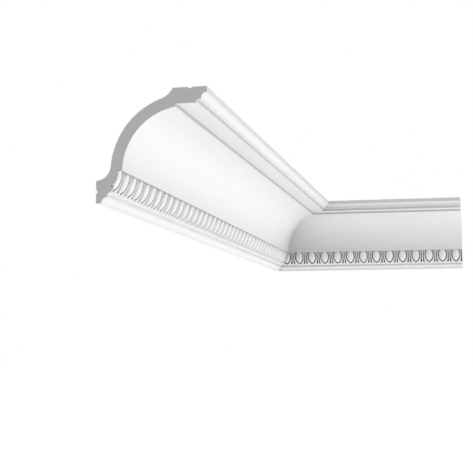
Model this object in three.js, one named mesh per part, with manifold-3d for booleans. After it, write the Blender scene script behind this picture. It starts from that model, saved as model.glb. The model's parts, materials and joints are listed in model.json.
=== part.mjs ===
// Cornice moulding section: two lengths of coved egg-and-dart cornice, mitred at an inside corner
import * as THREE from "three";
import { mergeVertices } from "three/addons/utils/BufferGeometryUtils.js";
import Module from "manifold-3d";

const wasm = await Module();
wasm.setup();

// Lengths along the two walls from the room corner, and the hairline left open at the mitre, in mm
const LONG_RUN = 866;
const SHORT_RUN = 298;
const MITRE_GAP = 0.3;

// The section: x is measured out from the wall, z up from the ceiling, so z is negative
const HEIGHT = 100;
const PROJECTION = 100;

// The cove, and the hollow back that follows it at the thickness of the shell
const COVE_CENTRE = [80.2, -72.65];
const COVE_RADIUS = 56.8;
const SHELL_THICKNESS = 10.3;
const COVE_STEPS = 12;

// Mouldings by the ceiling: a step, a soffit band, a second step, a shelf and a cavetto
const SOFFIT_INNER = 71.7;
const SOFFIT_OUTER = 90.5;
const SOFFIT_DEPTH = 13.6;
const SHELF_DEPTH = 10.4;
const CEILING_EDGE = 5.3;
const UPPER_CAVETTO = 5.1;

// Mouldings by the wall: an edge, a cavetto, an upright fillet and the bevelled nose above it
const WALL_EDGE = 5;
const LOWER_CAVETTO = 5.6;
const FILLET_FOOT = 10.6;
const FILLET_HEAD = [10.9, -92];
const CAVETTO_STEPS = 5;

// The two bedding faces, each with a vee groove that keys the adhesive, and the curves behind them
const CEILING_BED = 30.7;
const WALL_BED = 20.2;
const CEILING_KEY = [84.9, 4.8];
const WALL_KEY = [89.7, 4.9];
const KEY_DEPTH = 1.5;
const CEILING_FLARE = 18;
const WALL_FLARE = 13.5;
const FLARE_STEPS = 4;

// The ovolo that carries the carving: drops are arc lengths down its face from under the lip
const OVOLO_CENTRE = [-19, -66];
const OVOLO_RADIUS = 39.9;
const OVOLO_START = THREE.MathUtils.degToRad(-7.2);
const LIP_RISE = 2.9;
const NOSE_DROP = 21.1;

// Egg and dart: half-widths are measured across from the middle of the egg
const PITCH = 20.65;
const GROOVE_HALF_WIDTH = 6.5;
const WIDEST_DROP = 7.65;
const SHOULDER_RADIUS = 17.2;
const POINT_RADIUS = 13.7;
const SHELL_SIDE_RADIUS = 51.6;
const EGG_OFFSET = -0.75;
const SHELL_INNER_OFFSET = 0.7;
const SHELL_OUTER_OFFSET = 1.8;
const DART_HALF_WIDTH = 1.1;
const HOLE_DROP = 19.45;
const DART_FOOT_DROP = 20.3;
const SHELL_FOOT_DROP = 20.6;

// Rises of the carving over the ovolo's own radius
const EGG_EDGE_RISE = -1.0;
const EGG_CROWN = 1.9;
const GROOVE_RISE = -2.1;
const SHELL_RISE = 0.2;
const GAP_RISE = -1.9;
const DART_RISE = 0.2;

// How finely a cell is cut: places down each curve, and one line between the egg's middle and edge
const DOWN_CURVE = [0, 0.38, 0.68, 0.88, 1];
const ACROSS_EGG = 0.62;

// Distance from each run's reference to the middle of its first egg
const LONG_FIRST_EGG = 4.8;
const SHORT_FIRST_EGG = 19.65;

// Height of the origin above the wall foot: the middle of the flat below the wall bed's key groove
const ORIGIN_HEIGHT = 4;

const PRIMER = new THREE.MeshStandardMaterial({
  color: 0xf2f2f0,
  roughness: 0.6,
  metalness: 0,
  flatShading: true,
});

// Points on the shorter arc about a centre, from one point to another
function arcBetween(centre, from, to, steps) {
  const radius = Math.hypot(from[0] - centre[0], from[1] - centre[1]);
  const start = Math.atan2(from[1] - centre[1], from[0] - centre[0]);
  const end = Math.atan2(to[1] - centre[1], to[0] - centre[0]);
  const sweep = Math.atan2(Math.sin(end - start), Math.cos(end - start));
  return Array.from({ length: steps + 1 }, (_, i) => {
    const angle = start + (sweep * i) / steps;
    return [centre[0] + radius * Math.cos(angle), centre[1] + radius * Math.sin(angle)];
  });
}

// Centre of a circle that passes through a corner and touches the back's big circle from outside
function flareCentre(bigRadius, corner, radius, side) {
  const across = [corner[0] - COVE_CENTRE[0], corner[1] - COVE_CENTRE[1]];
  const distance = Math.hypot(...across);
  const reach = bigRadius + radius;
  const along = (distance ** 2 + reach ** 2 - radius ** 2) / (2 * distance);
  const aside = side * Math.sqrt(reach ** 2 - along ** 2);
  const [dx, dz] = [across[0] / distance, across[1] / distance];
  return [COVE_CENTRE[0] + along * dx - aside * dz, COVE_CENTRE[1] + along * dz + aside * dx];
}

// Point on the ovolo at a drop below the lip and a rise over its face
function ovoloPoint(drop, rise) {
  const angle = OVOLO_START - drop / OVOLO_RADIUS;
  const radius = OVOLO_RADIUS + rise;
  return [OVOLO_CENTRE[0] + radius * Math.cos(angle), OVOLO_CENTRE[1] + radius * Math.sin(angle)];
}

// The front of the section above the carving, from the lip to the ceiling edge
function upperFront() {
  const lip = ovoloPoint(0, LIP_RISE);
  const coveStart = [
    COVE_CENTRE[0] - Math.sqrt(COVE_RADIUS ** 2 - (COVE_CENTRE[1] - lip[1]) ** 2),
    lip[1],
  ];
  const coveEnd = [
    SOFFIT_INNER,
    COVE_CENTRE[1] + Math.sqrt(COVE_RADIUS ** 2 - (COVE_CENTRE[0] - SOFFIT_INNER) ** 2),
  ];
  const cavettoCentre = [PROJECTION, -CEILING_EDGE - UPPER_CAVETTO];
  const shelfEnd = [PROJECTION - UPPER_CAVETTO, -SHELF_DEPTH];
  return [
    ...arcBetween(COVE_CENTRE, coveStart, coveEnd, COVE_STEPS),
    [SOFFIT_INNER, -SOFFIT_DEPTH],
    [SOFFIT_OUTER, -SOFFIT_DEPTH],
    [SOFFIT_OUTER, -SHELF_DEPTH],
    ...arcBetween(cavettoCentre, shelfEnd, [PROJECTION, -CEILING_EDGE], CAVETTO_STEPS),
  ];
}

// The ceiling bed, the hollow back and the wall bed, from the ceiling edge to the wall foot
function backAndBeds() {
  const backRadius = COVE_RADIUS + SHELL_THICKNESS;
  const ceilingCorner = [PROJECTION - CEILING_BED, 0];
  const wallCorner = [0, WALL_BED - HEIGHT];
  const ceilingFlare = flareCentre(backRadius, ceilingCorner, CEILING_FLARE, 1);
  const wallFlare = flareCentre(backRadius, wallCorner, WALL_FLARE, -1);
  const touch = (centre) => {
    const share = backRadius / Math.hypot(centre[0] - COVE_CENTRE[0], centre[1] - COVE_CENTRE[1]);
    return centre.map((value, i) => COVE_CENTRE[i] + (value - COVE_CENTRE[i]) * share);
  };
  const [keyX, keyWidth] = CEILING_KEY;
  const [keyDepth, keyHeight] = WALL_KEY;
  return [
    [PROJECTION, 0],
    [keyX + keyWidth / 2, 0],
    [keyX, -KEY_DEPTH],
    [keyX - keyWidth / 2, 0],
    ...arcBetween(ceilingFlare, ceilingCorner, touch(ceilingFlare), FLARE_STEPS),
    ...arcBetween(COVE_CENTRE, touch(ceilingFlare), touch(wallFlare), COVE_STEPS).slice(1, -1),
    ...arcBetween(wallFlare, touch(wallFlare), wallCorner, FLARE_STEPS),
    [0, keyHeight / 2 - keyDepth],
    [KEY_DEPTH, -keyDepth],
    [0, -keyHeight / 2 - keyDepth],
  ];
}

// The front of the section below the carving, from the wall foot to the nose
function lowerFront() {
  const cavettoCentre = [FILLET_FOOT, -HEIGHT];
  return [
    [0, -HEIGHT],
    ...arcBetween(
      cavettoCentre,
      [WALL_EDGE, -HEIGHT],
      [FILLET_FOOT, LOWER_CAVETTO - HEIGHT],
      CAVETTO_STEPS,
    ),
    FILLET_HEAD,
    ovoloPoint(NOSE_DROP, 0),
  ];
}

// How far the round bottom end of an oval lies below the lip
function ovalTip(offset) {
  const bow = POINT_RADIUS - GROOVE_HALF_WIDTH;
  return WIDEST_DROP + Math.sqrt((POINT_RADIUS + offset) ** 2 - bow ** 2);
}

// Half-width of the oval at an offset outside the egg's groove: two arcs that meet at the widest
function ovalHalfWidth(drop, offset, lowerRadius = POINT_RADIUS) {
  const below = drop - WIDEST_DROP;
  const radius = below < 0 ? SHOULDER_RADIUS : lowerRadius;
  const reach = (radius + offset) ** 2 - below ** 2;
  return Math.sqrt(Math.max(reach, 0)) - (radius - GROOVE_HALF_WIDTH);
}

// Height of the egg over its own edge, which falls away to its tip as an ellipsoid does
function eggCrown(drop, across) {
  const below = Math.max(drop - WIDEST_DROP, 0) / (ovalTip(EGG_OFFSET) - WIDEST_DROP);
  return EGG_CROWN * Math.sqrt(Math.max(1 - below ** 2, 0) * (1 - across ** 2));
}

// An oval line of the carving, as [across, drop, rise] from the lip to its tip
function ovalCurve(offset, share, riseAt) {
  const tip = ovalTip(offset);
  return DOWN_CURVE.map((place) => {
    const drop = place * tip;
    const across = place === 1 ? 0 : share * ovalHalfWidth(drop, offset);
    return [across, drop, riseAt(drop)];
  });
}

// The lines of half a cell: those round the egg, then those between the shell and the dart
function halfCell() {
  const eggRise = (share) => (drop) => EGG_EDGE_RISE + eggCrown(drop, share);
  const flat = (rise) => () => rise;
  const sideDrops = DOWN_CURVE.slice(0, -1).map((place, i, all) => (HOLE_DROP * i) / (all.length - 1));
  const shellSide = sideDrops.map((drop) => [
    ovalHalfWidth(drop, SHELL_OUTER_OFFSET, SHELL_SIDE_RADIUS),
    drop,
    SHELL_RISE,
  ]);
  const gap = shellSide.map(([across, drop]) => [
    (across + PITCH / 2 - DART_HALF_WIDTH) / 2,
    drop,
    GAP_RISE,
  ]);
  const dart = sideDrops.map((drop) => [PITCH / 2, drop, DART_RISE]);
  const side = [
    [...shellSide, shellSide.at(-1)],
    [...gap, [gap.at(-1)[0], DART_FOOT_DROP, 0]],
    [...dart, [PITCH / 2, DART_FOOT_DROP, 0]],
  ];
  const round = [
    ovalCurve(EGG_OFFSET, 0, eggRise(0)),
    ovalCurve(EGG_OFFSET, ACROSS_EGG, eggRise(ACROSS_EGG)),
    ovalCurve(EGG_OFFSET, 1, flat(EGG_EDGE_RISE)),
    ovalCurve(0, 1, flat(GROOVE_RISE)),
    ovalCurve(SHELL_INNER_OFFSET, 1, flat(SHELL_RISE)),
    [...shellSide, [0, SHELL_FOOT_DROP, 0]],
  ];
  return { round, side };
}

// A closed skin in run coordinates: u along the wall, x out from it, z up
class Skin {
  constructor() {
    this.numbers = [];
    this.faces = [];
    this.known = new Map();
  }

  vertex(point) {
    const key = point.map((value) => Math.round(value * 1e4)).join();
    if (!this.known.has(key)) {
      this.known.set(key, this.numbers.length / 3);
      this.numbers.push(...point);
    }
    return this.known.get(key);
  }

  triangle(...corners) {
    const face = corners.map((corner) => this.vertex(corner));
    if (new Set(face).size === 3) this.faces.push(...face);
  }

  // Triangles between two lines along the run, whatever their numbers of points
  zip(lower, upper) {
    let [i, j] = [0, 0];
    while (i < lower.length - 1 || j < upper.length - 1) {
      const lowerNext = i < lower.length - 1 ? lower[i + 1][0] : Infinity;
      const upperNext = j < upper.length - 1 ? upper[j + 1][0] : Infinity;
      if (upperNext <= lowerNext) {
        this.triangle(upper[j], lower[i], upper[j + 1]);
        j += 1;
      } else {
        this.triangle(upper[j], lower[i], lower[i + 1]);
        i += 1;
      }
    }
  }

  // The surface between neighbouring curves of half a cell, mirrored where the side is -1
  patch(curves, side, place) {
    for (let k = 0; k < curves.length - 1; k += 1) {
      for (let j = 0; j < curves[k].length - 1; j += 1) {
        const [a, b] = [place(curves[k][j]), place(curves[k][j + 1])];
        const [d, c] = [place(curves[k + 1][j]), place(curves[k + 1][j + 1])];
        const turns = side > 0 ? [[a, b, c], [a, c, d]] : [[a, c, b], [a, d, c]];
        turns.forEach((turn) => this.triangle(...turn));
      }
    }
  }

  // A narrow surface inside an outline, laid out flat by height
  fill(outline, height) {
    const contour = outline.map((point) => new THREE.Vector2(point[0], height(point)));
    for (const face of THREE.ShapeUtils.triangulateShape(contour, [])) {
      this.triangle(...face.map((i) => outline[i]));
    }
  }

  // A flat end that closes the section, facing back along the run or forward
  cap(outline, u, forward) {
    const contour = outline.map(([x, z]) => new THREE.Vector2(x, z));
    for (const [a, b, c] of THREE.ShapeUtils.triangulateShape(contour, [])) {
      const corners = [a, forward ? c : b, forward ? b : c];
      this.triangle(...corners.map((i) => [u, ...outline[i]]));
    }
  }
}

// The carving of one cell, tied to the lip above it and to the nose below
function carveCell(skin, { round, side }, middle, lip, nose) {
  const top = [];
  const foot = [];
  for (const hand of [-1, 1]) {
    const place = ([across, drop, rise]) => [middle + hand * across, ...ovoloPoint(drop, rise)];
    skin.patch(round, hand, place);
    skin.patch(side, hand, place);
    const tops = [...round, ...side.slice(1)].map((curve) => place(curve[0]));
    const feet = [round.at(-1).at(-1), ...side.map((curve) => curve.at(-1))].map(place);
    top.push(...(hand < 0 ? tops.reverse() : tops.slice(1)));
    foot.push(...(hand < 0 ? feet.reverse() : feet.slice(1)));
  }
  const [left, right] = [middle - PITCH / 2, middle + PITCH / 2];
  const fromCentre = ([, x, z]) => Math.hypot(x - OVOLO_CENTRE[0], z - OVOLO_CENTRE[1]);
  skin.fill([[left, ...lip], ...top, [right, ...lip]], fromCentre);
  const noseLine = [left, middle, right].map((u) => [u, ...nose]);
  skin.fill([...noseLine, ...foot.reverse()], ([, , z]) => z);
}

// A straight run of whole cells, the first one centred at firstEgg
function runSkin(firstEgg, cells) {
  const skin = new Skin();
  const half = halfCell();
  const upper = upperFront();
  const lower = lowerFront();
  const [lip, nose] = [upper[0], lower.at(-1)];
  const halves = Array.from({ length: 2 * cells + 1 }, (_, i) => firstEgg + ((i - 1) * PITCH) / 2);
  const borders = halves.filter((_, i) => i % 2 === 0);
  const ends = [borders[0], borders.at(-1)];
  for (let n = 0; n < cells; n += 1) {
    carveCell(skin, half, firstEgg + n * PITCH, lip, nose);
  }
  const line = (us, [x, z]) => us.map((u) => [u, x, z]);
  const plain = [...upper.slice(1), ...backAndBeds(), ...lower.slice(0, -1)];
  const lines = [line(borders, lip), ...plain.map((point) => line(ends, point)), line(halves, nose)];
  lines.slice(1).forEach((next, i) => skin.zip(lines[i], next));
  const dart = half.side.at(-1).map(([, drop, rise]) => ovoloPoint(drop, rise)).reverse();
  const outline = [lip, ...plain, nose, ...dart];
  skin.cap(outline, ends[0], false);
  skin.cap(outline, ends[1], true);
  return skin;
}

function toSolid(numbers, faces) {
  return new wasm.Manifold(new wasm.Mesh({
    numProp: 3,
    vertProperties: Float32Array.from(numbers),
    triVerts: Uint32Array.from(faces),
  }));
}

// A tall prism over a plan outline, which cuts a run to length and to its mitre
function cutter(plan) {
  const shape = new THREE.Shape(plan.map(([x, y]) => new THREE.Vector2(x, y)));
  const block = new THREE.ExtrudeGeometry(shape, { depth: HEIGHT * 2, bevelEnabled: false });
  block.translate(0, 0, -HEIGHT * 1.5);
  block.deleteAttribute("normal");
  block.deleteAttribute("uv");
  const welded = mergeVertices(block);
  return toSolid(welded.attributes.position.array, welded.index.array);
}

// A run laid in the room by toRoom, cut by its plan, as a named mesh
function length(name, skin, toRoom, plan) {
  const placed = [];
  for (let i = 0; i < skin.numbers.length; i += 3) {
    placed.push(...toRoom(...skin.numbers.slice(i, i + 3)));
  }
  const cut = toSolid(placed, skin.faces).intersect(cutter(plan)).getMesh();
  const geometry = new THREE.BufferGeometry();
  geometry.setAttribute("position", new THREE.BufferAttribute(cut.vertProperties, 3));
  geometry.setIndex(new THREE.BufferAttribute(cut.triVerts, 1));
  geometry.computeVertexNormals();
  const mesh = new THREE.Mesh(geometry, PRIMER);
  mesh.name = name;
  return mesh;
}

// Number of whole cells that carry a run from its first egg past the room corner or the cut end
function cellsTo(reach, firstEgg) {
  return Math.ceil((reach - firstEgg) / PITCH + 0.5);
}

// The long run lies along the left wall, from its square cut end at -LONG_RUN to the mitre
function longLength() {
  const far = PROJECTION * 1.5;
  const back = MITRE_GAP * Math.SQRT1_2;
  const firstEgg = LONG_FIRST_EGG - LONG_RUN;
  return length(
    "long_length",
    runSkin(firstEgg, cellsTo(0, firstEgg)),
    (u, x, z) => [x, u, z],
    [[-far, -LONG_RUN], [far, -LONG_RUN], [far, -far - back], [-far, far - back]],
  );
}

// The short run lies along the far wall, from the mitre to its square cut end at SHORT_RUN
function shortLength() {
  const far = PROJECTION * 1.5;
  const back = MITRE_GAP * Math.SQRT1_2;
  const firstEgg = SHORT_FIRST_EGG - PITCH;
  return length(
    "short_length",
    runSkin(firstEgg, cellsTo(SHORT_RUN, firstEgg)),
    (u, x, z) => [u, -x, z],
    [[-far + back, far], [far + back, -far], [SHORT_RUN, -far], [SHORT_RUN, far]],
  );
}

// The room corner at the ceiling is moved so that the origin lies on the long run's wall bed
const section = new THREE.Group();
section.add(longLength(), shortLength());
section.position.set(0, LONG_RUN / 2, HEIGHT - ORIGIN_HEIGHT);

const part = new THREE.Group();
part.add(section);

export default part;
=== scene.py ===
"""Cornice moulding section: the looks of a long and a short length, mitred at an inside corner.

Each length is one carved skin that stands for its CAD solid: fine egg-and-dart under a lip, plain
mouldings round it, a rougher moulded back, and cut faces that show the foam core inside its skin.
"""

import json
import logging
import math
from dataclasses import dataclass, field
from enum import Enum, IntEnum

import bmesh
import bpy
import numpy as np
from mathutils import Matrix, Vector
from mathutils.geometry import delaunay_2d_cdt


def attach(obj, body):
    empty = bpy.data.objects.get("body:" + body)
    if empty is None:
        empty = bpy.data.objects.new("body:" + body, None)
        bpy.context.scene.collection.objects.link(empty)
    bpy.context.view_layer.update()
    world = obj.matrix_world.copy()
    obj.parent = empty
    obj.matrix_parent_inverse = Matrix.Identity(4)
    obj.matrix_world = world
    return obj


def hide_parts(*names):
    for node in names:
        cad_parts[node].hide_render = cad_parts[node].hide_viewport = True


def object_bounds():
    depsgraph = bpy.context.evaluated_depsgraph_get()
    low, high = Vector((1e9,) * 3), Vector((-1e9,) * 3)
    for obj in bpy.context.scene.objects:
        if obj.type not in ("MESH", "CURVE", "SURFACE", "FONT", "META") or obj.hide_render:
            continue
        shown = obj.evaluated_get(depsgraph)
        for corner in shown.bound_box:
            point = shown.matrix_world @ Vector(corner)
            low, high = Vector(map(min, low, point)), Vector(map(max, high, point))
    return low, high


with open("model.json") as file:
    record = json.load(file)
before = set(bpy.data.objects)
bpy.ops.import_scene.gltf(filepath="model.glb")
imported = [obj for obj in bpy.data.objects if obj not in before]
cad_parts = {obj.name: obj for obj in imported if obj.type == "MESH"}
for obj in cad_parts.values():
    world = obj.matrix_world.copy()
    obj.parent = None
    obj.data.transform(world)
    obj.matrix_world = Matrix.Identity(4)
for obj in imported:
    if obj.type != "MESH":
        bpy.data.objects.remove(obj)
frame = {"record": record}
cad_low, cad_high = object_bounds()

log = logging.getLogger("cornice")

MM = 0.001
# The most of a side that a rounded corner takes up
ROUNDING_SHARE = 0.45
# Steps in a mm: points in the same step are merged
WELD_STEPS = 1e4
# How near to the cut's plane a point counts as on it, in metres, when cutting and when closing
CUT_REACH, CLOSING_REACH = 1e-7, 1e-6
# The range that most of a noise pattern lies in
NOISE_RANGE = (0.3, 0.7)
# Rays that feel how open a place is
OPENNESS_SAMPLES = 8
# Scale of a wave pattern that has one line a metre
ONE_LINE_SCALE = 0.314
# Places of the first egg, in mm: from the long length's cut end and from the room corner
LONG_FIRST_EGG, SHORT_FIRST_EGG = 4.8, 19.65
# How bright the primer and the back are beside the slot's white
PRIMER_SHARE, BACK_SHARE = 0.91, 0.93
Point = tuple[float, float]
Colour = tuple[float, float, float]
WHITE = (1.0, 1.0, 1.0, 1.0)


class Surface(IntEnum):
    """What a face of a length belongs to, as the number of its material slot."""

    FRONT = 0
    BACK = 1
    CORE = 2
    RIM = 3


class Wall(Enum):
    """The wall that a length is fixed to, which says how its run lies in the room."""

    LONG = "long"
    SHORT = "short"

    def to_frame(self, run_points: np.ndarray, corner: Vector) -> np.ndarray:
        """Lays points of a run in the room.

        Args:
            run_points: rows of along the wall, out from it and up, in mm from the room corner.
            corner: the room corner at the ceiling, in metres.

        Returns:
            The same rows in the frame, in metres.
        """
        along, out, up = run_points.T
        placed = (out, along, up) if self is Wall.LONG else (along, -out, up)
        return np.stack(placed, axis=1) * MM + np.array(corner)


@dataclass
class Outline:
    """A line round the section, from corners that are rounded off and arcs."""

    points: list[Point] = field(default_factory=list)
    radii: list[float] = field(default_factory=list)
    surfaces: list[Surface] = field(default_factory=list)
    surface: Surface = Surface.FRONT

    def corner(self, x: float, z: float, radius: float = 0.0) -> None:
        """Adds a point, rounded off at a radius in mm."""
        self.points.append((x, z))
        self.radii.append(radius)
        self.surfaces.append(self.surface)

    def arc(self, centre: Point, start: Point, end: Point, steps: int, radii: Point = (0, 0)) -> None:
        """Adds the shorter arc about a centre.

        Args:
            centre: centre of the arc.
            start: where it starts.
            end: where it ends.
            steps: how many straight steps stand for it.
            radii: how far its first and last corners are rounded off.
        """
        radius = math.dist(centre, start)
        first = math.atan2(start[1] - centre[1], start[0] - centre[0])
        last = math.atan2(end[1] - centre[1], end[0] - centre[0])
        sweep = math.remainder(last - first, math.tau)
        for i in range(steps + 1):
            angle = first + sweep * i / steps
            rounding = radii[0] if i == 0 else radii[1] if i == steps else 0.0
            x, z = centre[0] + radius * math.cos(angle), centre[1] + radius * math.sin(angle)
            self.corner(x, z, rounding)

    def rounded(self, steps_per_turn: int = 14) -> tuple[np.ndarray, list[Surface]]:
        """Rounds the corners off.

        Args:
            steps_per_turn: straight steps that a full turn would take.

        Returns:
            The points, and the surface of the strip that leads to each of them.
        """
        points: list[np.ndarray] = []
        surfaces: list[Surface] = []
        line = np.array(self.points)
        for i, (point, radius, surface) in enumerate(zip(line, self.radii, self.surfaces)):
            made = [point]
            if radius > 0 and 0 < i < len(line) - 1:
                made = self._fillet(line[i - 1], point, line[i + 1], radius, steps_per_turn)
            points += made
            surfaces += [surface] * len(made)
        return np.array(points), surfaces

    @staticmethod
    def _fillet(
        before: np.ndarray, corner: np.ndarray, after: np.ndarray, radius: float, steps_per_turn: int
    ) -> list[np.ndarray]:
        """Points of the small arc that takes the place of a corner."""
        back, on = before - corner, after - corner
        back_length, on_length = np.linalg.norm(back), np.linalg.norm(on)
        back, on = back / back_length, on / on_length
        turn = math.pi - math.acos(float(np.clip(back @ on, -1, 1)))
        reach = min(radius * math.tan(turn / 2), ROUNDING_SHARE * min(back_length, on_length))
        steps = max(2, math.ceil(turn / math.tau * steps_per_turn))
        # A circle's arc as a weighted quadratic curve between the two tangent points
        start, end, weight = corner + back * reach, corner + on * reach, math.cos(turn / 2)
        made = []
        for t in np.linspace(0, 1, steps + 1):
            a, b, c = (1 - t) ** 2, 2 * weight * t * (1 - t), t**2
            made.append((a * start + b * corner + c * end) / (a + b + c))
        return made


@dataclass(frozen=True)
class Ovolo:
    """The round face under the carving. Drops are arc lengths down it, rises stand out from it."""

    centre: Point = (-19.0, -66.0)
    radius: float = 40.4
    start_degrees: float = -7.2

    def place(self, drop: np.ndarray, rise: np.ndarray) -> tuple[np.ndarray, np.ndarray]:
        """Turns drops and rises in mm into the section's x and z."""
        angle = math.radians(self.start_degrees) - np.asarray(drop) / self.radius
        reach = self.radius + np.asarray(rise)
        return self.centre[0] + reach * np.cos(angle), self.centre[1] + reach * np.sin(angle)

    def point(self, drop: float, rise: float) -> Point:
        """One place on the face, as the section's x and z."""
        x, z = self.place(drop, rise)
        return float(x), float(z)


@dataclass(frozen=True)
class Section:
    """The plain mouldings, in mm: x is measured out from the wall, z up from the ceiling."""

    ovolo: Ovolo = Ovolo()
    height: float = 100.0
    projection: float = 100.0
    lip_rise: float = 2.9
    lip_inner_rise: float = 2.0
    cove_centre: Point = (80.2, -72.65)
    cove_radius: float = 56.3
    shell_thickness: float = 10.8
    soffit: Point = (71.7, 90.5)
    soffit_depth: float = 14.4
    shelf_depth: float = 11.1
    ceiling_edge: float = 5.3
    upper_cavetto: float = 5.1
    wall_edge: float = 5.0
    lower_cavetto: float = 5.6
    fillet_foot: float = 10.6
    fillet_head: Point = (10.3, -91.8)
    nose_drop: float = 21.1
    ceiling_bed: float = 30.7
    wall_bed: float = 20.2
    ceiling_key: Point = (84.9, 4.8)
    wall_key: Point = (89.7, 4.9)
    key_depth: float = 1.5
    ceiling_flare: float = 18.0
    wall_flare: float = 13.5
    arris: float = 0.3
    moulded_arris: float = 0.5
    cove_steps: int = 34
    cavetto_steps: int = 8
    flare_steps: int = 7

    def outline(self) -> Outline:
        """The line round the section: from under the lip, by the two beds, to the nose."""
        line = Outline()
        self._upper_front(line)
        self._beds_and_back(line)
        self._lower_front(line)
        return line

    def _upper_front(self, line: Outline) -> None:
        """The lip, the cove, the stepped soffit and the cavetto, up to the ceiling edge."""
        line.corner(*self.ovolo.point(0, self.lip_inner_rise))
        lip = self.ovolo.point(0, self.lip_rise)
        centre_x, centre_z = self.cove_centre
        foot = centre_x - math.sqrt(self.cove_radius**2 - (centre_z - lip[1]) ** 2)
        inner, outer = self.soffit
        head = centre_z + math.sqrt(self.cove_radius**2 - (centre_x - inner) ** 2)
        ends = (foot, lip[1]), (inner, head)
        line.arc(self.cove_centre, *ends, self.cove_steps, (self.arris, self.arris))
        line.corner(inner, -self.soffit_depth, self.arris)
        line.corner(outer, -self.soffit_depth, self.arris)
        line.corner(outer, -self.shelf_depth, self.arris)
        cavetto = (self.projection, -self.ceiling_edge - self.upper_cavetto)
        start = (self.projection - self.upper_cavetto, -self.shelf_depth)
        end = (self.projection, -self.ceiling_edge)
        line.arc(cavetto, start, end, self.cavetto_steps, (self.arris, self.arris))
        line.corner(self.projection, 0, self.arris)

    def _beds_and_back(self, line: Outline) -> None:
        """The two beds with their adhesive keys, and the hollow back that follows the cove."""
        line.surface = Surface.BACK
        key_x, key_width = self.ceiling_key
        line.corner(key_x + key_width / 2, 0, self.moulded_arris)
        line.corner(key_x, -self.key_depth, self.moulded_arris)
        line.corner(key_x - key_width / 2, 0, self.moulded_arris)
        back_radius = self.cove_radius + self.shell_thickness
        ceiling_corner = (self.projection - self.ceiling_bed, 0.0)
        wall_corner = (0.0, self.wall_bed - self.height)
        ceiling_flare = self._flare_centre(ceiling_corner, self.ceiling_flare, 1)
        wall_flare = self._flare_centre(wall_corner, self.wall_flare, -1)
        upper, lower = (self._toward(flare, back_radius) for flare in (ceiling_flare, wall_flare))
        line.arc(ceiling_flare, ceiling_corner, upper, self.flare_steps, (self.moulded_arris, 0))
        back = Outline()
        back.arc(self.cove_centre, upper, lower, self.cove_steps)
        for point in back.points[1:-1]:
            line.corner(*point)
        line.arc(wall_flare, lower, wall_corner, self.flare_steps, (0, self.moulded_arris))
        key_drop, key_height = self.wall_key
        line.corner(0, key_height / 2 - key_drop, self.moulded_arris)
        line.corner(self.key_depth, -key_drop, self.moulded_arris)
        line.corner(0, -key_height / 2 - key_drop, self.moulded_arris)
        line.corner(0, -self.height, self.arris)

    def _lower_front(self, line: Outline) -> None:
        """The wall edge, the cavetto, the upright fillet and the nose."""
        line.surface = Surface.FRONT
        cavetto = (self.fillet_foot, -self.height)
        start = (self.wall_edge, -self.height)
        end = (self.fillet_foot, self.lower_cavetto - self.height)
        line.arc(cavetto, start, end, self.cavetto_steps, (self.arris, self.arris))
        line.corner(*self.fillet_head, self.arris)
        line.corner(*self.ovolo.point(self.nose_drop, 0))

    def _flare_centre(self, corner: Point, radius: float, side: int) -> Point:
        """Centre of a circle through a corner that touches the back's big circle from outside."""
        across = np.subtract(corner, self.cove_centre)
        distance = float(np.linalg.norm(across))
        reach = self.cove_radius + self.shell_thickness + radius
        along = (distance**2 + reach**2 - radius**2) / (2 * distance)
        aside = side * math.sqrt(reach**2 - along**2)
        dx, dz = across / distance
        return (
            self.cove_centre[0] + along * dx - aside * dz,
            self.cove_centre[1] + along * dz + aside * dx,
        )

    def _toward(self, point: Point, distance: float) -> Point:
        """The place at a distance from the cove's centre on the way to a point."""
        way = np.subtract(point, self.cove_centre)
        x, z = np.array(self.cove_centre) + way * distance / np.linalg.norm(way)
        return float(x), float(z)


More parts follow.
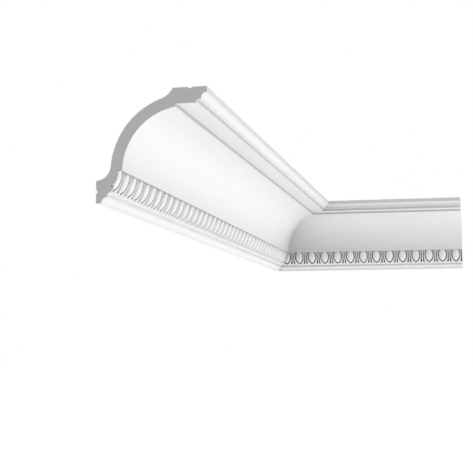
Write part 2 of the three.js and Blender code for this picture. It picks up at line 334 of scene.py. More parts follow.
@dataclass(frozen=True)
class EggAndDart:
    """One unit of the carving, in mm. Half-widths are measured across from the middle of the egg."""

    pitch: float = 20.65
    groove_half_width: float = 6.5
    widest_drop: float = 7.65
    shoulder_radius: float = 17.2
    tip_drop: float = 19.65
    tip_sharpness: float = 1.44
    corner_degrees: float = 52.0
    shell_side_radius: float = 51.6
    shell_outer_offset: float = 1.8
    shell_outer_share: float = 0.4
    egg_offset: float = -0.58
    egg_edge_rise: float = -1.15
    egg_crown: float = 2.1
    groove_rise: float = -2.9
    groove_fade_drop: float = 4.0
    groove_fade: float = 0.8
    gap_rise: float = -2.6
    top_gap_rise: float = 0.1
    top_trench_fill: float = 0.6
    gap_wall_lean: float = 0.2
    gap_toe_share: float = 0.1
    gap_toe_rise: float = 0.25
    hole_rise: float = -4.2
    shell_rise: float = 0.3
    hole_drop: float = 19.45
    hole_ease: int = 4
    hole_sill: float = 0.2
    dart_half_width: float = 0.92
    dart_spread: float = 0.2
    dart_rise: float = 0.35
    dart_wall_lean: float = 0.22
    dart_toe_rise: float = 0.2
    crease_across: float = 6.1
    crease_half_width: float = 0.55
    crease_depth: float = 0.85
    middle_crease_share: float = 0.5
    lobe_drop: float = 20.95
    lobe_scallop: float = 0.6
    lobe_crown: float = 0.08
    foot_line_share: float = 0.8
    foot_drop: float = 21.05
    lip_clear_rise: float = 1.3
    upper_stations: int = 7
    side_stations: int = 9
    egg_lines: int = 8

    # Lines across the groove, as offset outside its middle and depth as a share of its fall
    groove_profile: tuple[Point, ...] = (
        (-0.5, 0.3), (-0.4, 0.85), (-0.18, 1.0), (0.24, 1.0), (0.47, 0.88)
    )
    # Lines up the shell's inner edge, as offset outside the groove's middle and rise under its top
    shell_inner_profile: tuple[Point, ...] = ((0.52, -1.0), (0.6, -0.4), (0.72, -0.12), (0.95, 0.0))
    # Lines down the shell's outer edge, as distance inside it and rise under its top
    shell_outer_profile: tuple[Point, ...] = ((0.28, 0.0), (0.1, -0.1), (0.0, -0.4))
    # Lines over the dart, as share of its half-width and rise under its top
    dart_profile: tuple[Point, ...] = ((1.0, -0.9), (0.72, -0.3), (0.36, -0.06), (0.0, 0.0))
    # Lines over the hole's sill, as share of its height and rise under the shell's top
    sill_profile: tuple[Point, ...] = ((0.4, -0.5), (1.0, -0.06))
    # Lines over the lobe's edge, as drop below it and rise under the shell's top
    lobe_profile: tuple[Point, ...] = ((0.08, -0.38), (0.0, -0.12), (-0.14, 0.0))
    # Across-values of the stations on the foot line, from the corner of the hole to the egg's axis
    foot_stations: tuple[float, ...] = (6.98, 6.55, 6.1, 5.65, 5.0, 3.9, 2.6, 1.3, 0.0)

    @property
    def corner_station(self) -> int:
        """The station at the lower corner of the hole beside the shell."""
        return self.upper_stations + self.side_stations

    def oval(self, offset: float) -> np.ndarray:
        """An oval line round the egg.

        Args:
            offset: distance outside the middle of the groove.

        Returns:
            Rows of across and drop at each station, from the lip to the egg's axis.
        """
        upper = np.linspace(0, self.widest_drop, self.upper_stations + 1)
        reach = np.sqrt((self.shoulder_radius + offset) ** 2 - (upper - self.widest_drop) ** 2)
        across = reach - (self.shoulder_radius - self.groove_half_width)
        corner, feet = math.radians(self.corner_degrees), len(self.foot_stations)
        turns = np.concatenate([
            np.linspace(0, corner, self.side_stations + 1)[1:],
            np.linspace(corner, math.pi / 2, feet)[1:],
        ])
        # Below its widest place the line is a pointed half ellipse, moved out along its own normals
        length, sharpness = self.tip_drop - self.widest_drop, self.tip_sharpness
        level, down = np.clip(np.cos(turns), 0, 1), np.sin(turns)
        aside = level ** (2 - sharpness) / (sharpness * self.groove_half_width)
        normal = np.stack([aside, down / length], axis=1)
        normal /= np.linalg.norm(normal, axis=1, keepdims=True)
        lower_across = np.maximum(self.groove_half_width * level**sharpness + offset * normal[:, 0], 0)
        lower_across[-1] = 0.0
        lower_drop = self.widest_drop + length * down + offset * normal[:, 1]
        return np.stack(
            [np.concatenate([across, lower_across]), np.concatenate([upper, lower_drop])], axis=1
        )

    def shell_edge(self) -> np.ndarray:
        """The shell's outer edge down to the hole's corner, and on along the foot to the axis."""
        upper = np.linspace(0, self.widest_drop, self.upper_stations + 1)
        lower = np.linspace(self.widest_drop, self.hole_drop, self.side_stations + 1)[1:]
        drops = np.concatenate([upper, lower])
        radius = np.where(drops < self.widest_drop, self.shoulder_radius, self.shell_side_radius)
        reach = np.sqrt((radius + self.shell_outer_offset) ** 2 - (drops - self.widest_drop) ** 2)
        side = np.stack([reach - (radius - self.groove_half_width), drops], axis=1)
        side[-1] = self.foot_stations[0], self.hole_drop
        across = np.array(self.foot_stations[1:])
        below = (self.lobe_drop - self.hole_drop) * self.foot_line_share
        foot = np.stack(
            [across, self.hole_drop + below * (1 - (across / self.foot_stations[0]) ** 2)], axis=1
        )
        return np.concatenate([side, foot])

    def round_block(self) -> np.ndarray:
        """The egg, its groove and its shell: lines of across, drop and rise at each station."""
        egg_edge = self.oval(self.egg_offset)
        tip_drop = egg_edge[-1, 1]
        fall = np.clip((egg_edge[:, 1] - self.widest_drop) / (tip_drop - self.widest_drop), 0, 1)
        lines = []
        for t in np.linspace(0, 1, self.egg_lines + 1):
            share = math.sin(t * math.pi / 2)
            crown = self.egg_crown * np.sqrt(np.clip(1 - fall**2, 0, 1) * (1 - share**2))
            lines.append(self._level(egg_edge * (share, 1), self.egg_edge_rise + crown))
        near_lip = np.clip(1 - egg_edge[:, 1] / self.groove_fade_drop, 0, 1)
        deep = (self.groove_rise - self.egg_edge_rise) * (1 - self.groove_fade * near_lip)
        for offset, depth in self.groove_profile:
            lines.append(self._level(self.oval(offset), self.egg_edge_rise + deep * depth))
        for offset, under in self.shell_inner_profile:
            lines.append(self._level(self.oval(offset), self.shell_rise + under))
        inner, edge = self.oval(self.shell_inner_profile[-1][0]), self.shell_edge()
        width = np.linalg.norm(edge - inner, axis=1, keepdims=True)
        for distance, under in self.shell_outer_profile:
            held = np.arange(len(edge)) <= self.corner_station
            rise = self.shell_rise + np.where(held, under, 0.0)
            line = edge + (inner - edge) * np.minimum(distance / width, self.shell_outer_share)
            lines.append(self._level(line, rise))
        return np.array(lines)

    @staticmethod
    def _level(line: np.ndarray, rise: float | np.ndarray) -> np.ndarray:
        """A line of across and drop, at one rise or at a rise for each station."""
        return np.column_stack([line, np.full(len(line), rise)])

    def side_block(self) -> np.ndarray:
        """The gap between shell and dart, and half the dart, ending over the hole's sill."""
        edge = self.shell_edge()[: self.corner_station + 1]
        drops = edge[:, 1]
        top = np.clip(1 - drops / self.widest_drop, 0, 1)
        foot_share = (drops / self.hole_drop) ** self.hole_ease
        deep = self.gap_rise + (self.hole_rise - self.gap_rise) * foot_share
        near_floor = deep + (self.top_gap_rise - self.gap_rise) * top
        trench_floor = deep + (near_floor - deep) * self.top_trench_fill
        half = self.dart_half_width + self.dart_spread * foot_share
        axis = self.pitch / 2
        wall_foot, dart_foot = edge[:, 0] + self.gap_wall_lean, axis - half - self.dart_wall_lean
        floor_middle = (wall_foot + dart_foot) / 2
        columns = [
            (edge[:, 0], self.shell_rise + self.shell_outer_profile[-1][1]),
            (wall_foot, near_floor + self.gap_toe_rise),
            (wall_foot + self.gap_toe_share * (floor_middle - wall_foot), near_floor),
            (floor_middle, (near_floor + trench_floor) / 2),
            (dart_foot, trench_floor + self.dart_toe_rise),
        ]
        columns += [(axis - half * share, self.dart_rise + under) for share, under in self.dart_profile]
        block = np.array([self._level(np.column_stack([across, drops]), rise) for across, rise in columns])
        rows = [block]
        for share, under in self.sill_profile:
            sill = block[:, -1:, :].copy()
            sill[1:, :, 1] += self.hole_sill * share
            sill[1:, :, 2] = np.maximum(sill[1:, :, 2], self.shell_rise + under)
            rows.append(sill)
        return np.concatenate(rows, axis=1)

    def foot_block(self, round_block: np.ndarray, side_block: np.ndarray) -> np.ndarray:
        """The scalloped foot, as rows of across, drop and rise from the lowest up.

        Args:
            round_block: the lines round the egg.
            side_block: the lines between the shell and the dart.

        Returns:
            Rows from the nose to the foot of the two blocks, from the egg's axis to the dart's.
        """
        under_shell = round_block[-1, self.corner_station :][::-1]
        top = np.concatenate([under_shell, side_block[1:, -1]])
        across = top[:, 0]
        outside = across > self.crease_across
        from_middle = np.where(
            outside,
            (self.pitch / 2 - across) / (self.pitch / 2 - self.crease_across),
            across / self.crease_across,
        )
        edge = self.lobe_drop - self.lobe_scallop * np.abs(from_middle) ** 3
        crease = np.clip(1 - np.abs(across - self.crease_across) / self.crease_half_width, 0, 1)
        sunk = self.crease_depth * crease
        rows = [np.column_stack([across, np.full_like(across, self.foot_drop), np.zeros_like(across)])]
        for below, under in self.lobe_profile:
            rows.append(np.column_stack([across, edge + below, self.shell_rise + under - sunk]))
        middle = (top[:, 1] + rows[-1][:, 1]) / 2
        crown = self.shell_rise + self.lobe_crown * (1 - from_middle**2)
        rows.append(np.column_stack([across, middle, crown - self.middle_crease_share * sunk]))
        rows.append(top)
        return np.array(rows)


@dataclass
class Skin:
    """A skin in run coordinates, in mm: along the wall, out from it and up."""

    points: list[np.ndarray] = field(default_factory=list)
    faces: list[np.ndarray] = field(default_factory=list)
    surfaces: list[np.ndarray] = field(default_factory=list)
    count: int = 0

    def add(self, points: np.ndarray, faces: np.ndarray, surfaces: np.ndarray) -> None:
        """Adds points and four-cornered faces. A triangle is one that ends on a repeat."""
        self.points.append(points)
        self.faces.append(faces + self.count)
        self.surfaces.append(surfaces)
        self.count += len(points)

    def grid(self, rows: np.ndarray, surfaces: np.ndarray, flip: bool = False) -> None:
        """Adds a sheet of four-cornered faces.

        Args:
            rows: rows of points, each row running along the wall and the next one further round.
            surfaces: the surface of the strip between each row and the next.
            flip: whether the faces turn the other way.
        """
        across, along = rows.shape[:2]
        index = np.arange(across * along).reshape(across, along)
        a, b = index[:-1, :-1], index[:-1, 1:]
        d, c = index[1:, :-1], index[1:, 1:]
        order = (a, d, c, b) if flip else (a, b, c, d)
        faces = np.stack(order, axis=-1).reshape(-1, 4)
        self.add(rows.reshape(-1, 3), faces, np.repeat(surfaces, along - 1))

    def zip(self, lower: np.ndarray, upper: np.ndarray, surface: Surface) -> None:
        """Joins two lines along the wall by triangles, whatever their numbers of points."""
        faces = []
        i, j, base = 0, 0, len(lower)
        while i < len(lower) - 1 or j < len(upper) - 1:
            lower_next = lower[i + 1, 0] if i < len(lower) - 1 else math.inf
            upper_next = upper[j + 1, 0] if j < len(upper) - 1 else math.inf
            if upper_next <= lower_next:
                faces.append((base + j, i, base + j + 1, base + j + 1))
                j += 1
            else:
                faces.append((base + j, i, i + 1, i + 1))
                i += 1
        self.add(np.concatenate([lower, upper]), np.array(faces), np.full(len(faces), int(surface)))

    def welded(self) -> tuple[np.ndarray, list[list[int]], list[int]]:
        """Merges the points that coincide.

        Returns:
            The points, each face's corners with repeats left out, and each face's surface.
        """
        points, faces = np.concatenate(self.points), np.concatenate(self.faces)
        surfaces = np.concatenate(self.surfaces)
        steps = np.round(points * WELD_STEPS)
        _, first, known = np.unique(steps, axis=0, return_index=True, return_inverse=True)
        kept_faces, kept_surfaces = [], []
        for face, surface in zip(known.reshape(-1)[faces].tolist(), surfaces.tolist()):
            corners = [c for i, c in enumerate(face) if c != face[i - 1]]
            if len(set(corners)) == len(corners) and len(corners) > 2:
                kept_faces.append(corners)
                kept_surfaces.append(surface)
        return points[first], kept_faces, kept_surfaces


@dataclass
class MouldedLength:
    """One length of cornice, from the room corner to its square cut end."""

    name: str
    wall: Wall
    start: float
    end: float
    first_egg: float
    section: Section = Section()
    carving: EggAndDart = EggAndDart()
    mitre_gap: float = 0.3
    front_rim: float = 0.12
    back_rim: float = 0.55
    sharp_degrees: float = 48.0

    def build(self, corner: Vector, finishes: list[bpy.types.Material]) -> bpy.types.Object:
        """Builds the length and dresses it.

        Args:
            corner: the room corner at the ceiling, in metres.
            finishes: a material for each surface, in the order of Surface.

        Returns:
            The finished piece.
        """
        points, faces, surfaces = self._skin().welded()
        mesh = bpy.data.meshes.new(self.name)
        mesh.from_pydata(self.wall.to_frame(points, corner).tolist(), [], faces)
        mesh.polygons.foreach_set("material_index", surfaces)
        for finish in finishes:
            mesh.materials.append(finish)
        self._cut(mesh, corner)
        mesh.shade_smooth()
        mesh.set_sharp_from_angle(angle=math.radians(self.sharp_degrees))
        piece = bpy.data.objects.new(self.name, mesh)
        bpy.context.scene.collection.objects.link(piece)
        weighted = piece.modifiers.new("Even flats", "WEIGHTED_NORMAL")
        weighted.keep_sharp = True
        return piece

    def _skin(self) -> Skin:
        """The whole skin over whole units of carving, past both ends of the length."""
        skin = Skin()
        pitch = self.carving.pitch
        before = math.ceil((self.first_egg - self.start) / pitch + 0.5)
        cells = before + math.ceil((self.end - self.first_egg) / pitch + 0.5)
        first = self.first_egg - before * pitch
        profile, surfaces = self.section.outline().rounded()
        halves = first + (np.arange(2 * cells + 1) - 1) * pitch / 2
        rows = np.array([[(u, x, z) for u in halves] for x, z in profile])
        skin.grid(rows, np.array(surfaces[1:]))
        blocks = self._half_unit()
        middles = first + np.arange(cells) * pitch
        for middle in middles:
            self._carve(skin, middle, blocks)
        top, foot = np.concatenate([blocks[0][:, 0], blocks[1][1:, 0]]), blocks[2][0]
        clear = top.copy()
        clear[:, 2] = self.carving.lip_clear_rise
        top_line, clear_line, foot_line = (self._along(line, middles) for line in (top, clear, foot))
        skin.grid(np.array([top_line, clear_line]), np.array([int(Surface.FRONT)]))
        skin.zip(clear_line, rows[0], Surface.FRONT)
        skin.zip(rows[-1], foot_line, Surface.FRONT)
        return skin

    def _half_unit(self) -> tuple[np.ndarray, np.ndarray, np.ndarray]:
        """The blocks of half a unit: round the egg, beside it and under it."""
        round_block = self.carving.round_block()
        side_block = self.carving.side_block()
        return round_block, side_block, self.carving.foot_block(round_block, side_block)

    def _carve(self, skin: Skin, middle: float, blocks: tuple[np.ndarray, ...]) -> None:
        """Adds the carving of one unit, both halves."""
        for block in blocks:
            surfaces = np.full(len(block) - 1, int(Surface.FRONT))
            for hand in (-1, 1):
                skin.grid(self._on_ovolo(block, middle, hand), surfaces, flip=hand < 0)

    def _on_ovolo(self, block: np.ndarray, middle: float, hand: int) -> np.ndarray:
        """Points of the carving laid on the ovolo, mirrored where the hand is -1."""
        x, z = self.section.ovolo.place(block[..., 1], block[..., 2])
        return np.stack([middle + hand * block[..., 0], x, z], axis=-1)

    def _along(self, line: np.ndarray, middles: np.ndarray) -> np.ndarray:
        """A line over half a unit, mirrored and repeated along the whole run."""
        whole = []
        for middle in middles:
            whole += [*self._on_ovolo(line, middle, -1)[:0:-1], *self._on_ovolo(line, middle, 1)[:-1]]
        return np.array([*whole, self._on_ovolo(line, middles[-1], 1)[-1]])

    def _cut(self, mesh: bpy.types.Mesh, corner: Vector) -> None:
        """Cuts the skin square at its end and at 45 degrees in the corner, and closes both cuts."""
        mitre_out = Vector((1, 1, 0)).normalized() * (1 if self.wall is Wall.LONG else -1)
        mitre_point = corner - mitre_out * (self.mitre_gap / 2 * MM)
        along = Vector((0, 1, 0)) if self.wall is Wall.LONG else Vector((1, 0, 0))
        end = self.start if self.wall is Wall.LONG else self.end
        end_out = -along if self.wall is Wall.LONG else along
        bm = bmesh.new()
        bm.from_mesh(mesh)
        for point, out in ((mitre_point, mitre_out), (corner + along * end * MM, end_out)):
            geometry = [*bm.verts, *bm.edges, *bm.faces]
            bmesh.ops.bisect_plane(
                bm, geom=geometry, dist=CUT_REACH, plane_co=point, plane_no=out, clear_outer=True
            )
            CutFace(point, out, self.front_rim, self.back_rim).close(bm)
        bm.to_mesh(mesh)
        bm.free()


@dataclass
class CutFace:
    """A sawn face: the foam core inside its skin, which is a thin film in front and thicker behind."""

    point: Vector
    out: Vector
    front_rim: float
    back_rim: float
    spacing: float = 0.3
    closest: float = 0.15
    closest_share: float = 0.99

    def close(self, bm: bmesh.types.BMesh) -> None:
        """Fills the open outline that a cut has left in the mesh."""
        loop = self._loop(bm)
        flat = self._flat(loop)
        if self._area(flat) < 0:
            loop.reverse()
            flat = flat[::-1]
        inner = self._inside(flat, self._rims(loop))
        whole = np.concatenate([flat, inner])
        rings = [list(range(len(flat))), list(range(len(flat), len(whole)))]
        coords = [Vector(p) for p in whole]
        made, _, faces, origins, _, face_origins = delaunay_2d_cdt(coords, [], rings, 1, CLOSING_REACH)
        corners = []
        for place, origin in zip(made, origins):
            old = [i for i in origin if i < len(loop)]
            corners.append(loop[old[0]] if old else bm.verts.new(self._lift(place)))
        for face, origin in zip(faces, face_origins):
            ends = [corners[i] for i in face]
            if len(set(ends)) < 3:
                continue
            new = bm.faces.new(ends)
            new.normal_update()
            if new.normal.dot(self.out) < 0:
                new.normal_flip()
            new.material_index = int(Surface.CORE if 1 in origin else Surface.RIM)

    def _axes(self) -> tuple[Vector, Vector]:
        """The level and upright directions in the cut's plane."""
        up = Vector((0, 0, 1))
        return up.cross(self.out).normalized(), up

    def _loop(self, bm: bmesh.types.BMesh) -> list[bmesh.types.BMVert]:
        """The corners of the open outline, in order."""
        follows: dict[bmesh.types.BMVert, list[bmesh.types.BMVert]] = {}
        for edge in bm.edges:
            off = max(abs((v.co - self.point).dot(self.out)) for v in edge.verts)
            if edge.is_boundary and off < CLOSING_REACH:
                a, b = edge.verts
                follows.setdefault(a, []).append(b)
                follows.setdefault(b, []).append(a)
        start = next(iter(follows))
        loop, before = [start], None
        while True:
            here = loop[-1]
            ahead = [v for v in follows[here] if v is not before]
            before = here
            if ahead[0] is start:
                return loop
            loop.append(ahead[0])

    def _rims(self, loop: list[bmesh.types.BMVert]) -> list[float]:
        """The rim's width along each side of the outline, by the surface that the side ends."""
        rims = []
        for start, end in zip(loop, loop[1:] + loop[:1]):
            side = next(edge for edge in start.link_edges if edge.other_vert(start) is end)
            behind = side.link_faces[0].material_index == Surface.BACK
            rims.append(self.back_rim if behind else self.front_rim)
        return rims

    def _flat(self, loop: list[bmesh.types.BMVert]) -> np.ndarray:
        """The corners as flat places in the cut's plane, in mm."""
        level, up = self._axes()
        ways = [v.co - self.point for v in loop]
        return np.array([(way.dot(level), way.dot(up)) for way in ways]) / MM

    def _lift(self, place: Vector) -> Vector:
        """A flat place back in the frame."""
        level, up = self._axes()
        return self.point + level * (place[0] * MM) + up * (place[1] * MM)

    @staticmethod
    def _area(flat: np.ndarray) -> float:
        """Twice the area inside a flat outline, positive where it runs anticlockwise."""
        ahead = np.roll(flat, -1, axis=0)
        return float(np.sum(flat[:, 0] * ahead[:, 1] - flat[:, 1] * ahead[:, 0]))

    def _inside(self, flat: np.ndarray, rims: list[float]) -> np.ndarray:
        """The outline drawn in by the width of the rim, without its crossings."""
        fine, widths = [], []
        for start, end, rim in zip(flat, np.roll(flat, -1, axis=0), rims):
            steps = max(1, math.ceil(math.dist(start, end) / self.spacing))
            fine += [start + (end - start) * i / steps for i in range(steps)]
            widths += [rim] * steps
        line, reach = np.array(fine), np.array(widths)
        way = np.roll(line, -1, axis=0) - np.roll(line, 1, axis=0)
        way /= np.linalg.norm(way, axis=1, keepdims=True)
        moved = line + np.stack([-way[:, 1], way[:, 0]], axis=1) * reach[:, None]
        step = np.roll(flat, -1, axis=0) - flat
        share = np.einsum("pij,ij->pi", moved[:, None] - flat, step) / np.sum(step**2, axis=1)
        nearest = flat + np.clip(share, 0, 1)[..., None] * step
        gap = np.linalg.norm(moved[:, None] - nearest, axis=2).min(axis=1)
        kept = moved[gap > reach * self.closest_share]
        spaced = [kept[0]]
        for point in kept[1:]:
            if min(math.dist(point, spaced[-1]), math.dist(point, kept[0])) > self.closest:
                spaced.append(point)
        return np.array(spaced)


def ranged(
    tree: bpy.types.NodeTree, value: bpy.types.NodeSocket, source: Point, target: Point = (0.0, 1.0)
) -> bpy.types.NodeSocket:
    """A number moved from one range to another, and held at its ends."""
    node = tree.nodes.new("ShaderNodeMapRange")
    for name, bound in zip(("From Min", "From Max", "To Min", "To Max"), (*source, *target)):
        node.inputs[name].default_value = bound
    tree.links.new(value, node.inputs["Value"])
    return node.outputs["Result"]


def shaded(colour: Colour, share: float) -> Colour:
    """A colour with each part cut to a share of itself."""
    red, green, blue = (part * share for part in colour)
    return red, green, blue


class Recipe:
    """A finish under construction: a fresh material and the nodes that drive its shader."""

    def __init__(self, name: str) -> None:
        """Starts a material whose patterns are laid out in the frame's own metres."""
        self.material = bpy.data.materials.new(name)
        self.material.use_nodes = True
        self.tree = self.material.node_tree
        self.shader = self.tree.nodes["Principled BSDF"]
        self.place = self.tree.nodes.new("ShaderNodeTexCoord").outputs["Object"]

    def pattern(self, kind: str, scale: float, **settings: float) -> bpy.types.Node:
        """Adds a texture node.

        Args:
            kind: the texture's name.
            scale: its scale for lengths in metres.
            settings: numbers for other sockets, by name with low lines for spaces.

        Returns:
            The node, laid out over the piece.
        """
        node = self.tree.nodes.new(f"ShaderNodeTex{kind}")
        node.inputs["Scale"].default_value = scale
        for name, value in settings.items():
            node.inputs[name.replace("_", " ")].default_value = value
        self.tree.links.new(self.place, node.inputs["Vector"])
        return node

    def noise(self, size: float, detail: float = 2.0) -> bpy.types.NodeSocket:
        """Soft noise whose features are a size in mm."""
        return self.pattern("Noise", 1 / (size * MM), Detail=detail).outputs[0]

    def cells(self, size: float) -> bpy.types.NodeSocket:
        """Distance from the middle of the nearest of many cells, a size in mm apart."""
        return self.pattern("Voronoi", 1 / (size * MM)).outputs["Distance"]

    def saw_lines(self, size: float, wander: float, waviness: float) -> bpy.types.NodeSocket:
        """Nearly level lines, a size in mm apart, as a saw leaves them."""
        scale = ONE_LINE_SCALE / (size * MM)
        node = self.pattern("Wave", scale, Distortion=wander, Detail_Scale=waviness)
        node.bands_direction = "Z"
        return node.outputs["Fac"]

    def spread(self, value: bpy.types.NodeSocket, ends: Point) -> bpy.types.NodeSocket:
        """A pattern's middle range spread between two numbers."""
        return ranged(self.tree, value, NOISE_RANGE, ends)

    def openness(self, reach: float) -> bpy.types.NodeSocket:
        """How open a place is, from 0 in a deep recess to 1 on an open face, felt over a reach in mm."""
        node = self.tree.nodes.new("ShaderNodeAmbientOcclusion")
        node.samples = OPENNESS_SAMPLES
        node.inputs["Distance"].default_value = reach * MM
        return node.outputs["AO"]

    def blend(
        self, share: bpy.types.NodeSocket, span: Point, closed: Colour, opened: bpy.types.NodeSocket
    ) -> bpy.types.NodeSocket:
        """Goes from a colour to another that a pattern gives, as the share crosses a span."""
        node = self.tree.nodes.new("ShaderNodeMix")
        node.data_type = "RGBA"
        first, second = (socket for socket in node.inputs if socket.type == "RGBA")
        first.default_value = (*closed, 1.0)
        self.tree.links.new(ranged(self.tree, share, span), node.inputs["Factor"])
        self.tree.links.new(opened, second)
        return next(socket for socket in node.outputs if socket.type == "RGBA")

    def tint(self, value: bpy.types.NodeSocket, dark: Colour, light: Colour) -> bpy.types.NodeSocket:
        """A pattern as a colour between two."""
        node = self.tree.nodes.new("ShaderNodeValToRGB")
        for element, place, colour in zip(node.color_ramp.elements, NOISE_RANGE, (dark, light)):
            element.position = place
            element.color = (*colour, 1.0)
        self.tree.links.new(value, node.inputs["Fac"])
        return node.outputs["Color"]

    def growing(self, reach: Point, values: Point) -> bpy.types.NodeSocket:
        """A number that goes from one value to another between two distances in metres from the origin."""
        length = self.tree.nodes.new("ShaderNodeVectorMath")
        length.operation = "LENGTH"
        self.tree.links.new(self.place, length.inputs[0])
        return ranged(self.tree, length.outputs["Value"], reach, values)

    def drive(self, socket: str, value: bpy.types.NodeSocket) -> None:
        """Lets a pattern drive one of the shader's sockets."""
        self.tree.links.new(value, self.shader.inputs[socket])

    def finished(
        self,
        coat: bpy.types.NodeSocket,
        roughness: bpy.types.NodeSocket,
        gloss: float,
        layers: list[tuple[bpy.types.NodeSocket, float]],
    ) -> bpy.types.Material:
        """Dresses the shader.

        Args:
            coat: the colour.
            roughness: the roughness.
            gloss: the shader's specular level.
            layers: bumps, each a pattern with the height in mm that its whole range stands for.

        Returns:
            The finished material.
        """
        self.drive("Base Color", coat)
        self.drive("Roughness", roughness)
        self.shader.inputs["Specular IOR Level"].default_value = gloss
        normal = None
        for height, depth in layers:
            node = self.tree.nodes.new("ShaderNodeBump")
            node.inputs["Distance"].default_value = depth * MM
            self.tree.links.new(height, node.inputs["Height"])
            if normal is not None:
                self.tree.links.new(normal, node.inputs["Normal"])
            normal = node.outputs["Normal"]
        self.drive("Normal", normal)
        return self.material


@dataclass(frozen=True)
class Primer:
    """Matt white primer, sprayed: nearly even, with a fine tooth.

    Its colour is shaded greyer in grooves and in the room corner, to match the photo's shade there.
    The real primer is taken to be white all over.
    """

    colour: Colour
    recess_share: float = 0.1
    recess_span: Point = (0.16, 0.46)
    recess_reach: float = 3.2
    corner_share: float = 0.6
    corner_span: Point = (0.5, 0.89)
    corner_reach: float = 400.0
    mottle_size: float = 14.0
    mottle: float = 0.985
    roughness: Point = (0.5, 0.62)
    sheen_patch: float = 5.0
    pattern_detail: float = 3.0
    gloss: float = 0.35
    # Bumps, each as its size and its height in mm
    waves: Point = (30.0, 0.1)
    peel: Point = (1.8, 0.012)
    tooth: Point = (0.3, 0.008)

    def material(self) -> bpy.types.Material:
        """The finish as a material."""
        recipe = Recipe("white primer")
        mottle = recipe.noise(self.mottle_size, self.pattern_detail)
        coat = recipe.tint(mottle, shaded(self.colour, self.mottle), self.colour)
        in_corner = shaded(self.colour, self.corner_share)
        in_recess = shaded(self.colour, self.recess_share)
        coat = recipe.blend(recipe.openness(self.corner_reach), self.corner_span, in_corner, coat)
        coat = recipe.blend(recipe.openness(self.recess_reach), self.recess_span, in_recess, coat)
        patches = recipe.noise(self.sheen_patch, self.pattern_detail)
        layers = [(recipe.noise(size), depth) for size, depth in (self.waves, self.peel, self.tooth)]
        return recipe.finished(coat, recipe.spread(patches, self.roughness), self.gloss, layers)


@dataclass(frozen=True)
class MouldedBack:
    """The unseen back, as it left the mould: duller, with flow marks and small bubbles."""

    colour: Colour
    flow_size: float = 11.0
    flow_detail: float = 4.0
    flow: float = 0.93
    roughness: Point = (0.62, 0.82)
    gloss: float = 0.25
    # Bumps, each as its size and its height in mm
    swell: Point = (9.0, 0.15)
    bubbles: Point = (2.6, 0.12)
    grain: Point = (0.4, 0.02)

    def material(self) -> bpy.types.Material:
        """The finish as a material."""
        recipe = Recipe("moulded back")
        flow = recipe.noise(self.flow_size, self.flow_detail)
        coat = recipe.tint(flow, shaded(self.colour, self.flow), self.colour)
        layers = [
            (recipe.noise(self.swell[0]), self.swell[1]),
            (recipe.cells(self.bubbles[0]), self.bubbles[1]),
            (recipe.noise(self.grain[0]), self.grain[1]),
        ]
        return recipe.finished(coat, recipe.spread(flow, self.roughness), self.gloss, layers)


@dataclass(frozen=True)
class FoamCore:
    """The sawn core: grey, close-celled foam with the saw's lines across it."""

    dark: Colour = (0.69, 0.702, 0.715)
    light: Colour = (0.73, 0.742, 0.755)
    cloud_size: float = 2.2
    cloud_detail: float = 5.0
    roughness: Point = (0.8, 0.95)
    gloss: float = 0.2
    # Bumps, each as its size and its height in mm
    cells: Point = (0.35, 0.04)
    saw: Point = (1.1, 0.012)
    saw_wander: float = 1.5
    saw_waviness: float = 0.4

    def material(self) -> bpy.types.Material:
        """The finish as a material."""
        recipe = Recipe("foam core")
        cloud = recipe.noise(self.cloud_size, self.cloud_detail)
        layers = [
            (recipe.saw_lines(self.saw[0], self.saw_wander, self.saw_waviness), self.saw[1]),
            (recipe.cells(self.cells[0]), self.cells[1]),
        ]
        coat = recipe.tint(cloud, self.dark, self.light)
        return recipe.finished(coat, recipe.spread(cloud, self.roughness), self.gloss, layers)


@dataclass(frozen=True)
class SkinEdge:
    """The dense skin seen edge on round a cut: white, with the saw's drag in it."""

    colour: Colour
    shade: float = 0.97
    roughness: Point = (0.6, 0.75)
    gloss: float = 0.5
    # The saw's marks, as their size and their height in mm
    drag: Point = (0.5, 0.02)
    drag_detail: float = 3.0

    def material(self) -> bpy.types.Material:
        """The finish as a material."""
        recipe = Recipe("skin edge")
        drag = recipe.noise(self.drag[0], self.drag_detail)
        coat = recipe.tint(drag, shaded(self.colour, self.shade), self.colour)
        layers = [(drag, self.drag[1])]
        return recipe.finished(coat, recipe.spread(drag, self.roughness), self.gloss, layers)


@dataclass(frozen=True)
class PhotoCamera:
    """The camera at the photo's viewing angle, in the frame's metres and degrees."""

    place: tuple[float, float, float] = (0.33092, -1.34791, -0.13167)
    yaw_degrees: float = -12.6036
    pitch_degrees: float = 5.8398
    focal_pixels: float = 1110.5
    frame_pixels: float = 473.0
    sensor_mm: float = 36.0
    reach: float = 600.0

    def build(self) -> bpy.types.Object:
        """Places the camera and makes it the scene's own."""
        data = bpy.data.cameras.new("photo camera")
        data.sensor_width = self.sensor_mm
        data.lens = self.sensor_mm * self.focal_pixels / self.frame_pixels
        data.clip_end = self.reach
        camera = bpy.data.objects.new("photo camera", data)
        yaw, pitch = math.radians(self.yaw_degrees), math.radians(self.pitch_degrees)
        level = math.cos(pitch)
        ahead = Vector((math.sin(yaw) * level, math.cos(yaw) * level, math.sin(pitch)))
        camera.rotation_euler = ahead.to_track_quat("-Z", "Y").to_euler()
        camera.location = self.place
        bpy.context.scene.collection.objects.link(camera)
        bpy.context.scene.camera = camera
        return camera


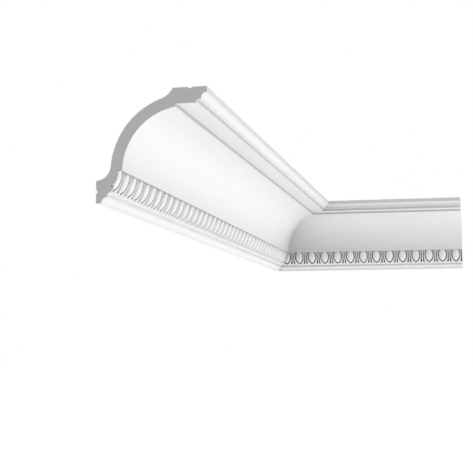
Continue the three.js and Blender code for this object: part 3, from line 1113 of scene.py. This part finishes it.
@dataclass(frozen=True)
class SoftLight:
    """A square soft box that faces the piece and doesn't show in the picture."""

    name: str
    place: tuple[float, float, float]
    size: float
    power: float
    colour: Colour = (0.965, 0.98, 1.0)

    def build(self, target: Vector) -> None:
        """Places the light so that it faces the target."""
        data = bpy.data.lights.new(self.name, "AREA")
        data.shape = "SQUARE"
        data.size = self.size
        data.energy = self.power
        data.color = self.colour
        light = bpy.data.objects.new(self.name, data)
        light.location = self.place
        light.rotation_euler = (target - Vector(self.place)).to_track_quat("-Z", "Y").to_euler()
        light.visible_camera = False
        bpy.context.scene.collection.objects.link(light)


@dataclass(frozen=True)
class Studio:
    """A white room: a pale glowing floor far below, dim air above, and soft boxes round the piece."""

    floor_drop: float = 2.6
    floor_reach: float = 150.0
    floor_rings: tuple[float, ...] = (0.03, 0.12, 0.4, 1.0)
    floor_sides: int = 64
    floor_patch_size: float = 900.0
    floor_patch: float = 0.99
    floor_roughness: float = 0.9
    floor_colour: Colour = (0.8, 0.8, 0.8)
    floor_glow: float = 0.9
    horizon_glow: float = 1.0
    horizon: Point = (14.0, 21.0)
    air: float = 0.045
    vault_rise: Point = (0.35, 0.7)
    vault_tone: float = 0.72
    lights: tuple[SoftLight, ...] = (
        SoftLight("side soft box", (2.5, -0.3, 0.4), 1.0, 26.0),
        SoftLight("low soft box", (2.6, 0.1, -0.2), 1.2, 6.0),
        SoftLight("front soft box", (0.0, -2.1, 2.1), 1.3, 4.0),
        SoftLight("overhead soft box", (-0.8, 1.8, 2.4), 2.0, 80.0),
    )

    def build(self, target: Vector) -> None:
        """Builds the floor, the air and the lights."""
        self._floor()
        self._air()
        for light in self.lights:
            light.build(target)

    def _floor(self) -> None:
        """A wide round floor, finer near the middle."""
        sides, height = self.floor_sides, -self.floor_drop
        turns = [i * math.tau / sides for i in range(sides)]
        points, faces = [(0.0, 0.0, height)], []
        for share in self.floor_rings:
            radius, outer = share * self.floor_reach, len(points)
            points += [(radius * math.cos(turn), radius * math.sin(turn), height) for turn in turns]
            for i in range(sides):
                here, ahead = outer + i, outer + (i + 1) % sides
                faces.append((here - sides, here, ahead, ahead - sides) if outer > 1 else (0, here, ahead))
        mesh = bpy.data.meshes.new("floor")
        mesh.from_pydata(points, [], faces)
        recipe = Recipe("pale floor")
        dark = shaded(self.floor_colour, self.floor_patch)
        patches = recipe.noise(self.floor_patch_size)
        recipe.drive("Base Color", recipe.tint(patches, dark, self.floor_colour))
        glow = recipe.growing(self.horizon, (self.floor_glow, self.horizon_glow))
        recipe.drive("Emission Strength", glow)
        recipe.shader.inputs["Roughness"].default_value = self.floor_roughness
        recipe.shader.inputs["Emission Color"].default_value = WHITE
        mesh.materials.append(recipe.material)
        floor = bpy.data.objects.new("floor", mesh)
        bpy.context.scene.collection.objects.link(floor)

    def _air(self) -> None:
        """White to look at, but dim as a light, so that what faces away from the floor is shaded."""
        world = bpy.data.worlds.new("studio air")
        world.use_nodes = True
        tree = world.node_tree
        seen = tree.nodes["Background"]
        seen.inputs["Color"].default_value = WHITE
        tree.links.new(self._vault(tree), seen.inputs["Strength"])
        lit = tree.nodes.new("ShaderNodeBackground")
        lit.inputs["Color"].default_value = WHITE
        lit.inputs["Strength"].default_value = self.air
        path = tree.nodes.new("ShaderNodeLightPath")
        mix = tree.nodes.new("ShaderNodeMixShader")
        tree.links.new(path.outputs["Is Camera Ray"], mix.inputs["Fac"])
        tree.links.new(lit.outputs["Background"], mix.inputs[1])
        tree.links.new(seen.outputs["Background"], mix.inputs[2])
        tree.links.new(mix.outputs["Shader"], tree.nodes["World Output"].inputs["Surface"])
        bpy.context.scene.world = world
        bpy.context.scene.view_settings.view_transform = "Standard"

    def _vault(self, tree: bpy.types.NodeTree) -> bpy.types.NodeSocket:
        """How bright the air looks: white near the horizon, pale grey high overhead."""
        way = tree.nodes.new("ShaderNodeTexCoord")
        parts = tree.nodes.new("ShaderNodeSeparateXYZ")
        tree.links.new(way.outputs["Generated"], parts.inputs["Vector"])
        return ranged(tree, parts.outputs["Z"], self.vault_rise, (1.0, self.vault_tone))


def main() -> None:
    """Builds the studio and both lengths, and reports each piece."""
    logging.basicConfig(level=logging.INFO, format="%(name)s: %(message)s")
    middle = (cad_low + cad_high) / 2
    PhotoCamera().build()
    Studio().build(middle)
    slots = {material["slot"]: material["base_color"] for material in frame["record"]["materials"]}
    white = tuple(slots["primed_moulding"])
    finishes = [
        Primer(shaded(white, PRIMER_SHARE)).material(),
        MouldedBack(shaded(white, BACK_SHARE)).material(),
        FoamCore().material(),
        SkinEdge(white).material(),
    ]
    corner = Vector((cad_low.x, cad_high.y, cad_high.z))
    long_run, short_run = (cad_high.y - cad_low.y) / MM, (cad_high.x - cad_low.x) / MM
    lengths = {
        "long_length": MouldedLength(
            "long_moulding", Wall.LONG, -long_run, 0.0, LONG_FIRST_EGG - long_run
        ),
        "short_length": MouldedLength(
            "short_moulding", Wall.SHORT, 0.0, short_run, SHORT_FIRST_EGG
        ),
    }
    for node, length in lengths.items():
        piece = length.build(corner, finishes)
        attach(piece, "root")
        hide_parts(node)
        triangles = sum(len(face.vertices) - 2 for face in piece.data.polygons)
        log.info("%s stands for %s, %d triangles", piece.name, node, triangles)


if __name__ == "__main__":
    main()
